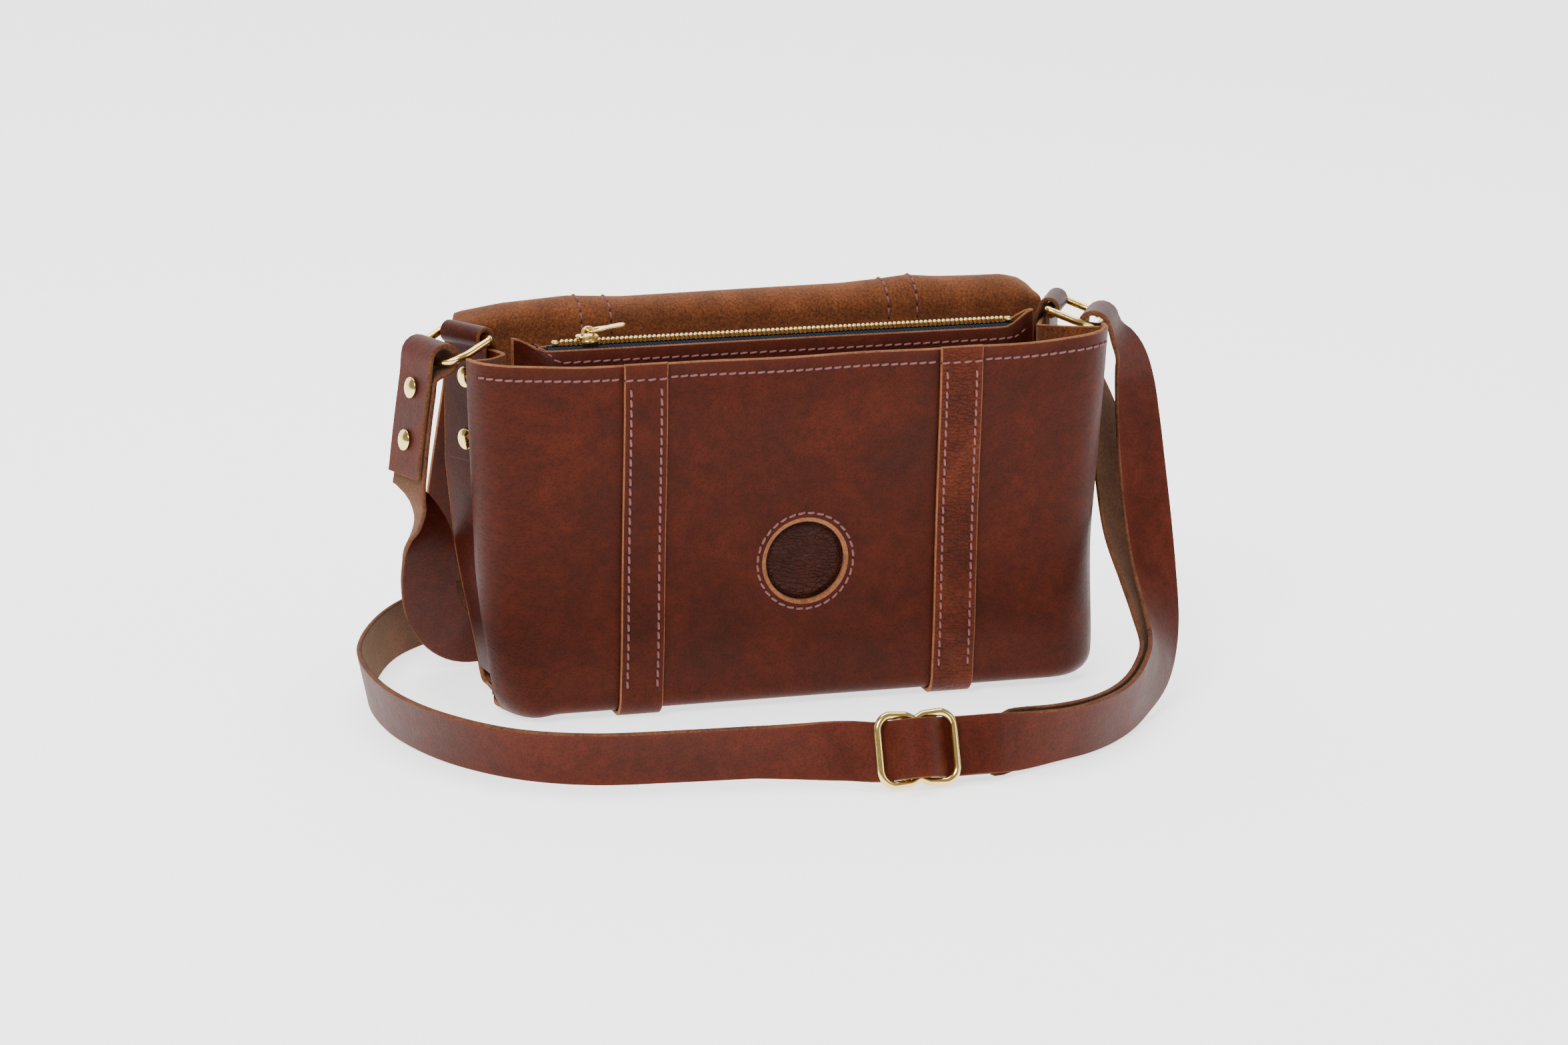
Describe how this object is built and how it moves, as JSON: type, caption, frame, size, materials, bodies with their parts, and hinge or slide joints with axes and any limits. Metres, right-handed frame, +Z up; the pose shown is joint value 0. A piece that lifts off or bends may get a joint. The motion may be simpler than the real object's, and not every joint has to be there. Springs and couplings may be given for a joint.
{
  "type": "crossbody purse",
  "caption": "Structured leather crossbody purse with folding gussets, a zip pouch between open pockets, a magnetic flap open over the back and an adjustable strap on D-rings.",
  "frame": {"origin": "on the ground under the middle of the whole object, strap included, 4 mm to the left of and 10 mm in front of the middle of the bag's body", "axes": "+X to the bag's right as its front is seen, +Y from the front panel to the back panel, +Z up"},
  "size_m": [0.3738, 0.3404, 0.1732],
  "materials": {
    "grain": "smooth waxed grain side of thick brown leather",
    "suede": "fuzzy flesh side of the same leather",
    "brass": "polished",
    "tape": "navy woven zip tape",
    "magnet": "nickel-plated"
  },
  "bodies": {
    "bag": {"body_panel": "grain", "magnet_cover": "grain", "band_left": "grain", "band_right": "grain", "pouch_front_panel": "grain", "pouch_back_panel": "grain", "gusset_left": "grain", "gusset_right": "grain", "ring_tab_left": "grain", "ring_tab_right": "grain", "strap_hang": "grain", "strap_floor": "grain", "strap_weave": "grain", "strap_rise": "grain", "strap_return": "suede", "magnet_backing": "suede", "tab_rivet_left_upper": "brass", "tab_rivet_left_lower": "brass", "tab_rivet_right_upper": "brass", "tab_rivet_right_lower": "brass", "zip_teeth_front": "brass", "zip_teeth_back": "brass", "zip_stop_left": "brass", "zip_stop_right": "brass", "zip_tape_front": "tape", "zip_tape_back": "tape", "magnet_disc": "magnet"},
    "flap_fold_lower": {"flap_fold_lower": "suede"},
    "flap_fold_upper": {"flap_fold_upper": "suede"},
    "flap_top": {"flap_top": "suede", "flap_top_band_left": "grain", "flap_top_band_right": "grain"},
    "flap_front": {"flap_front": "suede", "flap_front_band_left": "grain", "flap_front_band_right": "grain", "flap_magnet_disc": "magnet", "flap_magnet_patch": "suede"},
    "zip_slider": {"zip_slider": "brass", "zip_slider_foot": "brass"},
    "zip_pull": {"zip_pull": "brass"},
    "d_ring_left": {"d_ring_left": "brass", "strap_end": "grain", "strap_rivet_upper": "brass", "strap_rivet_lower": "brass"},
    "d_ring_right": {"d_ring_right": "brass", "strap_loop": "grain"},
    "strap_slider": {"strap_slider": "brass", "strap_anchor": "grain", "strap_rivet_anchor": "brass"}
  },
  "joints": [
    {"name": "flap_open", "type": "hinge", "parent": "bag", "child": "flap_fold_lower", "pos_m": [0.004, 0.0495, 0.16], "axis": [1, 0, 0], "range_deg": [0, 75.5]},
    {"name": "flap_fold", "type": "hinge", "parent": "flap_fold_lower", "child": "flap_fold_upper", "pos_m": [0.004, 0.05839, 0.17159], "axis": [1, 0, 0], "range_deg": [0, 114.8]},
    {"name": "flap_crest", "type": "hinge", "parent": "flap_fold_upper", "child": "flap_top", "pos_m": [0.004, 0.07189, 0.166], "axis": [1, 0, 0], "range_deg": [0, 42.1]},
    {"name": "flap_front_bend", "type": "hinge", "parent": "flap_top", "child": "flap_front", "pos_m": [0.004, 0.10489, 0.10884], "axis": [1, 0, 0], "range_deg": [0, 97]},
    {"name": "zip_slide", "type": "slide", "parent": "bag", "child": "zip_slider", "axis": [1, 0, 0], "range_m": [0, 0.184]},
    {"name": "zip_pull_swing", "type": "hinge", "parent": "zip_slider", "child": "zip_pull", "pos_m": [-0.082, 0.01, 0.1671], "axis": [0, 1, 0], "range_deg": [-160, 0]},
    {"name": "ring_left_swing", "type": "hinge", "parent": "bag", "child": "d_ring_left", "pos_m": [-0.13268, 0.02729, 0.165], "axis": [-0.4825, 0.8759, 0], "range_deg": [0, 60], "deforming": ["strap_hang"]},
    {"name": "ring_right_swing", "type": "hinge", "parent": "bag", "child": "d_ring_right", "pos_m": [0.14068, 0.02729, 0.165], "axis": [-0.4825, -0.8759, 0], "range_deg": [0, 60], "deforming": ["strap_rise", "strap_return"]},
    {"name": "strap_adjust", "type": "slide", "parent": "bag", "child": "strap_slider", "axis": [1, 0, 0], "range_m": [-0.04, 0.01], "deforming": ["strap_weave"]}
  ],
  "couplings": [
    {"joint": "flap_fold", "follows": "flap_open", "ratio": 1.52},
    {"joint": "flap_crest", "follows": "flap_open", "ratio": 0.557}
  ]
}
